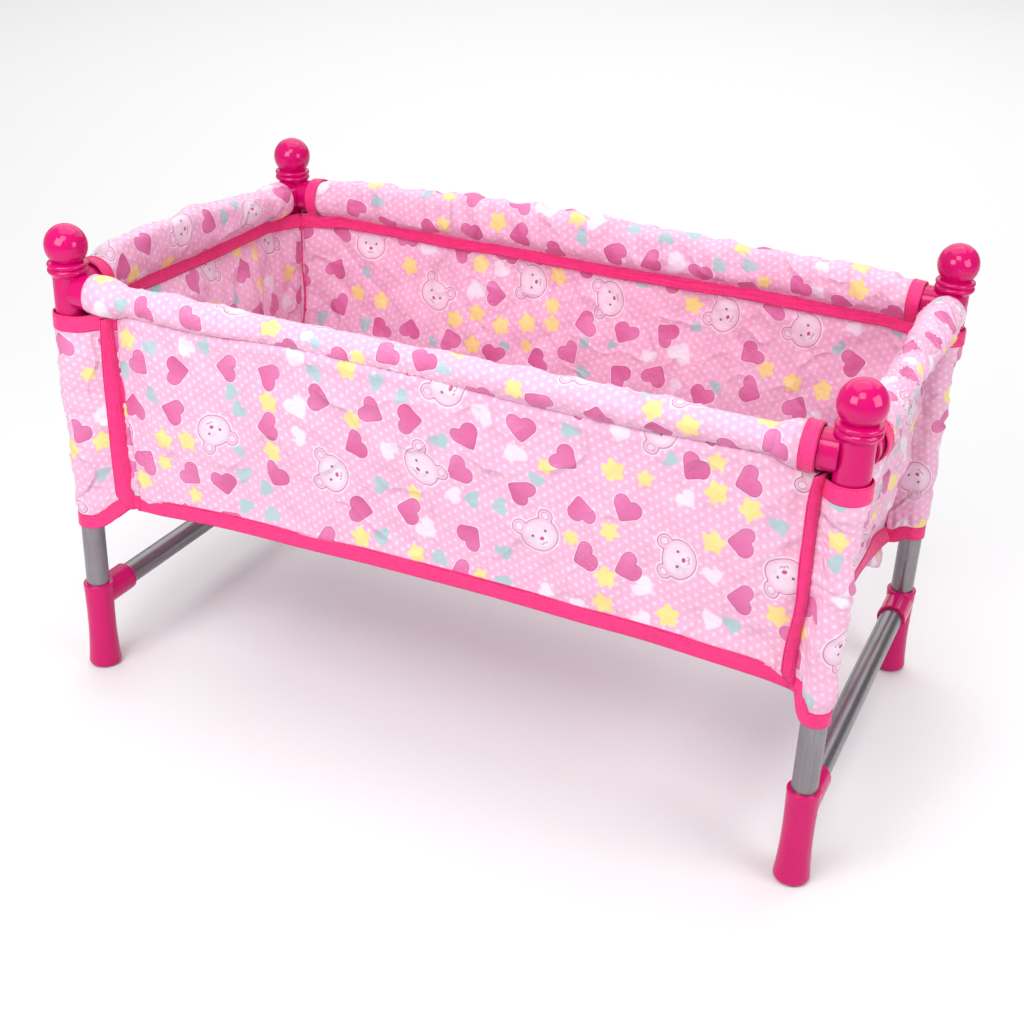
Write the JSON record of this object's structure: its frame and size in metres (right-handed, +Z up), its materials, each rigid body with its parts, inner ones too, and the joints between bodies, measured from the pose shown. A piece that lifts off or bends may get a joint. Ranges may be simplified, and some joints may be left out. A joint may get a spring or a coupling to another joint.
{
  "type": "doll crib",
  "caption": "Toy crib for a baby doll: sewn printed cloth body hung on a push-fit frame of grey tubes, with pink ball-topped corner connectors and feet.",
  "frame": {"origin": "on the ground, under the middle of the crib", "axes": "+X along the crib to its right end, +Y to its back, +Z up"},
  "size_m": [0.546, 0.299, 0.329],
  "materials": {
    "steel_tube": "satin grey",
    "pink_plastic": "glossy moulded",
    "printed_cloth": "light pink polyester with an all-over print",
    "binding_tape": "hot pink woven binding"
  },
  "bodies": {
    "left_foot_frame": {"foot_front_left": "pink_plastic", "foot_back_left": "pink_plastic", "cross_tube_left": "steel_tube"},
    "crib": {"leg_tube_front_left": "steel_tube", "corner_connector_front_left": "pink_plastic", "ball_finial_front_left": "pink_plastic", "post_sleeve_front_left": "printed_cloth", "post_top_band_front_left": "binding_tape", "leg_ring_front_left": "binding_tape", "seam_binding_front_left": "binding_tape", "leg_tube_front_right": "steel_tube", "corner_connector_front_right": "pink_plastic", "ball_finial_front_right": "pink_plastic", "post_sleeve_front_right": "printed_cloth", "post_top_band_front_right": "binding_tape", "leg_ring_front_right": "binding_tape", "seam_binding_front_right": "binding_tape", "leg_tube_back_left": "steel_tube", "corner_connector_back_left": "pink_plastic", "ball_finial_back_left": "pink_plastic", "post_sleeve_back_left": "printed_cloth", "post_top_band_back_left": "binding_tape", "leg_ring_back_left": "binding_tape", "seam_binding_back_left": "binding_tape", "leg_tube_back_right": "steel_tube", "corner_connector_back_right": "pink_plastic", "ball_finial_back_right": "pink_plastic", "post_sleeve_back_right": "printed_cloth", "post_top_band_back_right": "binding_tape", "leg_ring_back_right": "binding_tape", "seam_binding_back_right": "binding_tape", "top_rail_front": "steel_tube", "rail_sleeve_front": "printed_cloth", "rail_end_band_front": "binding_tape", "panel_front": "printed_cloth", "hem_binding_front": "binding_tape", "channel_binding_front": "binding_tape", "top_rail_back": "steel_tube", "rail_sleeve_back": "printed_cloth", "rail_end_band_back": "binding_tape", "panel_back": "printed_cloth", "hem_binding_back": "binding_tape", "channel_binding_back": "binding_tape", "top_rail_left": "steel_tube", "rail_sleeve_left": "printed_cloth", "rail_end_band_left": "binding_tape", "panel_left": "printed_cloth", "hem_binding_left": "binding_tape", "channel_binding_left": "binding_tape", "top_rail_right": "steel_tube", "rail_sleeve_right": "printed_cloth", "rail_end_band_right": "binding_tape", "panel_right": "printed_cloth", "hem_binding_right": "binding_tape", "channel_binding_right": "binding_tape", "floor_panel": "printed_cloth"},
    "right_foot_frame": {"foot_front_right": "pink_plastic", "foot_back_right": "pink_plastic", "cross_tube_right": "steel_tube"}
  },
  "joints": [
    {"name": "crib_lift_off", "type": "slide", "parent": "left_foot_frame", "child": "crib", "axis": [0, 0, 1], "range_m": [0, 0.04]},
    {"name": "right_foot_frame_pull_off", "type": "slide", "parent": "crib", "child": "right_foot_frame", "axis": [0, 0, -1], "range_m": [0, 0.04]}
  ],
  "couplings": [
    {"joint": "right_foot_frame_pull_off", "follows": "crib_lift_off", "ratio": 1}
  ]
}
